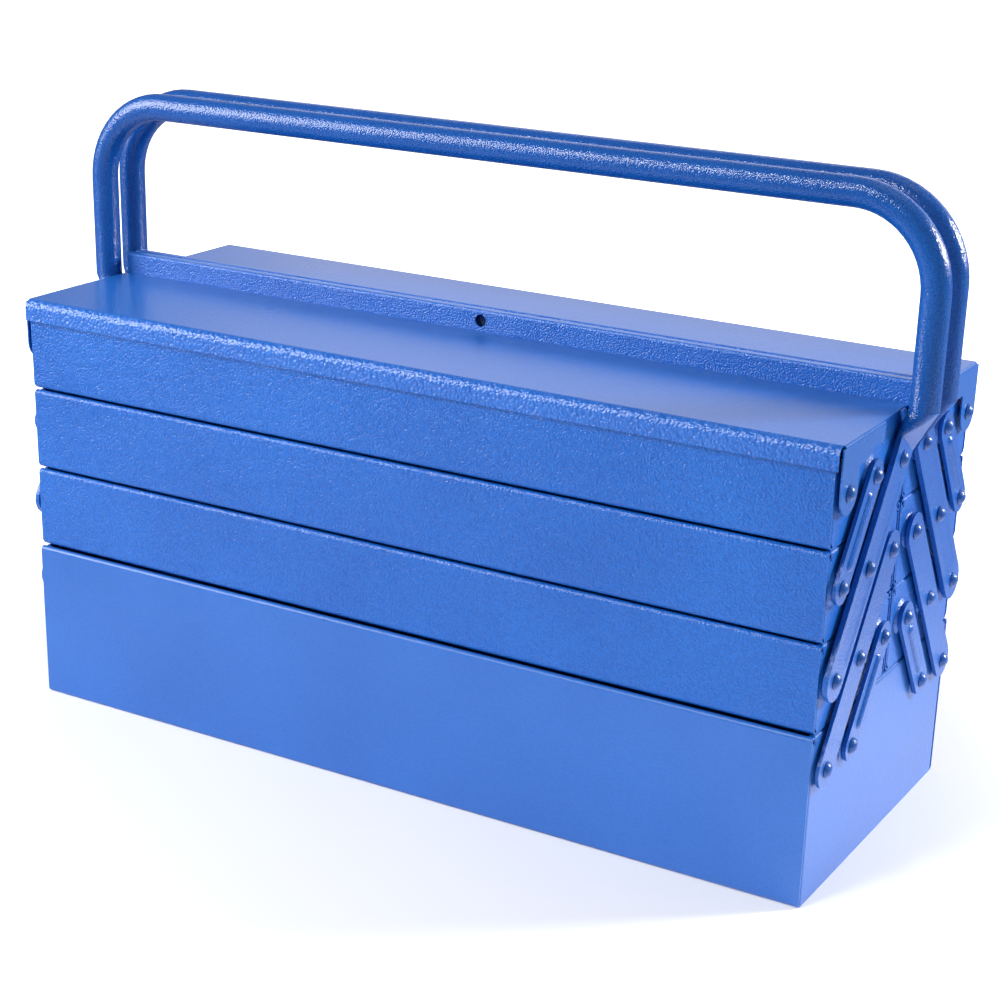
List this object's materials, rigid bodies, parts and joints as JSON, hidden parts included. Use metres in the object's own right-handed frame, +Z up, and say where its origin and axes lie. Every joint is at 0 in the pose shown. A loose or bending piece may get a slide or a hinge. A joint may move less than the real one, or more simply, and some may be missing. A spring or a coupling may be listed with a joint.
{
  "type": "cantilever tool box",
  "caption": "Steel cantilever tool box: a bottom box carries half trays on folding arms at both ends, with hinged lids and two tube handles that spread the trays apart.",
  "frame": {"origin": "centre of the bottom box's underside, on the floor", "axes": "+X along the length to the right end, +Y from the front to the rear, +Z up"},
  "size_m": [0.5386, 0.198, 0.3566],
  "materials": {
    "shell_paint": "glossy hammered enamel",
    "lid_paint": "glossy hammered enamel",
    "handle_paint": "glossy hammered enamel",
    "arm_paint": "glossy hammered enamel",
    "rivet_paint": "glossy hammered enamel"
  },
  "bodies": {
    "bottom_box": {"bottom_trough": "shell_paint", "bottom_end_left": "shell_paint", "bottom_end_right": "shell_paint", "bottom_rivets": "rivet_paint"},
    "front_lower_arms": {"front_lower_arm_left": "arm_paint", "front_lower_arm_right": "arm_paint"},
    "front_short_links": {"front_short_link_left": "arm_paint", "front_short_link_right": "arm_paint"},
    "front_lower_tray": {"front_lower_trough": "shell_paint", "front_lower_end_left": "shell_paint", "front_lower_end_right": "shell_paint", "front_lower_rivets": "rivet_paint"},
    "front_upper_tray": {"front_upper_trough": "shell_paint", "front_upper_end_left": "shell_paint", "front_upper_end_right": "shell_paint", "front_upper_rivets": "rivet_paint"},
    "front_top_tray": {"front_top_trough": "shell_paint", "front_top_end_left": "shell_paint", "front_top_end_right": "shell_paint", "front_top_rivets": "rivet_paint", "front_lid_rivets": "rivet_paint"},
    "front_handle_frame": {"front_handle": "handle_paint"},
    "front_lid_links": {"front_lid_link_left": "arm_paint", "front_lid_link_right": "arm_paint"},
    "front_lid_panel": {"front_lid": "lid_paint"},
    "rear_lower_arms": {"rear_lower_arm_left": "arm_paint", "rear_lower_arm_right": "arm_paint"},
    "rear_short_links": {"rear_short_link_left": "arm_paint", "rear_short_link_right": "arm_paint"},
    "rear_lower_tray": {"rear_lower_trough": "shell_paint", "rear_lower_end_left": "shell_paint", "rear_lower_end_right": "shell_paint", "rear_lower_rivets": "rivet_paint"},
    "rear_upper_tray": {"rear_upper_trough": "shell_paint", "rear_upper_end_left": "shell_paint", "rear_upper_end_right": "shell_paint", "rear_upper_rivets": "rivet_paint"},
    "rear_top_tray": {"rear_top_trough": "shell_paint", "rear_top_end_left": "shell_paint", "rear_top_end_right": "shell_paint", "rear_top_rivets": "rivet_paint", "rear_lid_rivets": "rivet_paint"},
    "rear_handle_frame": {"rear_handle": "handle_paint"},
    "rear_lid_links": {"rear_lid_link_left": "arm_paint", "rear_lid_link_right": "arm_paint"},
    "rear_lid_panel": {"rear_lid": "lid_paint"}
  },
  "joints": [
    {"name": "front_fold", "type": "hinge", "parent": "bottom_box", "child": "front_lower_arms", "pos_m": [0, -0.0855, 0.0745], "axis": [1, 0, 0], "range_deg": [0, 70]},
    {"name": "front_short_link_turn", "type": "hinge", "parent": "bottom_box", "child": "front_short_links", "pos_m": [0, -0.05125, 0.0745], "axis": [1, 0, 0], "range_deg": [0, 70]},
    {"name": "front_lower_tray_level", "type": "hinge", "parent": "front_lower_arms", "child": "front_lower_tray", "pos_m": [0, -0.05125, 0.123], "axis": [1, 0, 0], "range_deg": [-70, 0]},
    {"name": "front_upper_tray_level", "type": "hinge", "parent": "front_lower_arms", "child": "front_upper_tray", "pos_m": [0, -0.017, 0.1715], "axis": [1, 0, 0], "range_deg": [-70, 0]},
    {"name": "front_handle_turn", "type": "hinge", "parent": "front_upper_tray", "child": "front_handle_frame", "pos_m": [0, -0.05125, 0.1715], "axis": [1, 0, 0], "range_deg": [0, 70]},
    {"name": "front_lid_link_turn", "type": "hinge", "parent": "front_upper_tray", "child": "front_lid_links", "pos_m": [0, -0.0855, 0.1715], "axis": [1, 0, 0], "range_deg": [0, 70]},
    {"name": "front_top_tray_level", "type": "hinge", "parent": "front_handle_frame", "child": "front_top_tray", "pos_m": [0, -0.017, 0.22], "axis": [1, 0, 0], "range_deg": [-70, 0]},
    {"name": "front_lid_open", "type": "hinge", "parent": "front_top_tray", "child": "front_lid_panel", "pos_m": [0, -0.0855, 0.22], "axis": [1, 0, 0], "range_deg": [0, 50]},
    {"name": "rear_fold", "type": "hinge", "parent": "bottom_box", "child": "rear_lower_arms", "pos_m": [0, 0.0855, 0.0745], "axis": [-1, 0, 0], "range_deg": [0, 70]},
    {"name": "rear_short_link_turn", "type": "hinge", "parent": "bottom_box", "child": "rear_short_links", "pos_m": [0, 0.05125, 0.0745], "axis": [-1, 0, 0], "range_deg": [0, 70]},
    {"name": "rear_lower_tray_level", "type": "hinge", "parent": "rear_lower_arms", "child": "rear_lower_tray", "pos_m": [0, 0.05125, 0.123], "axis": [-1, 0, 0], "range_deg": [-70, 0]},
    {"name": "rear_upper_tray_level", "type": "hinge", "parent": "rear_lower_arms", "child": "rear_upper_tray", "pos_m": [0, 0.017, 0.1715], "axis": [-1, 0, 0], "range_deg": [-70, 0]},
    {"name": "rear_handle_turn", "type": "hinge", "parent": "rear_upper_tray", "child": "rear_handle_frame", "pos_m": [0, 0.05125, 0.1715], "axis": [-1, 0, 0], "range_deg": [0, 70]},
    {"name": "rear_lid_link_turn", "type": "hinge", "parent": "rear_upper_tray", "child": "rear_lid_links", "pos_m": [0, 0.0855, 0.1715], "axis": [-1, 0, 0], "range_deg": [0, 70]},
    {"name": "rear_top_tray_level", "type": "hinge", "parent": "rear_handle_frame", "child": "rear_top_tray", "pos_m": [0, 0.017, 0.22], "axis": [-1, 0, 0], "range_deg": [-70, 0]},
    {"name": "rear_lid_open", "type": "hinge", "parent": "rear_top_tray", "child": "rear_lid_panel", "pos_m": [0, 0.0855, 0.22], "axis": [-1, 0, 0], "range_deg": [0, 50]}
  ],
  "couplings": [
    {"joint": "front_short_link_turn", "follows": "front_fold", "ratio": 1},
    {"joint": "front_lower_tray_level", "follows": "front_fold", "ratio": -1},
    {"joint": "front_upper_tray_level", "follows": "front_fold", "ratio": -1},
    {"joint": "front_handle_turn", "follows": "front_fold", "ratio": 1},
    {"joint": "front_lid_link_turn", "follows": "front_fold", "ratio": 1},
    {"joint": "front_top_tray_level", "follows": "front_fold", "ratio": -1},
    {"joint": "rear_short_link_turn", "follows": "rear_fold", "ratio": 1},
    {"joint": "rear_lower_tray_level", "follows": "rear_fold", "ratio": -1},
    {"joint": "rear_upper_tray_level", "follows": "rear_fold", "ratio": -1},
    {"joint": "rear_handle_turn", "follows": "rear_fold", "ratio": 1},
    {"joint": "rear_lid_link_turn", "follows": "rear_fold", "ratio": 1},
    {"joint": "rear_top_tray_level", "follows": "rear_fold", "ratio": -1}
  ]
}
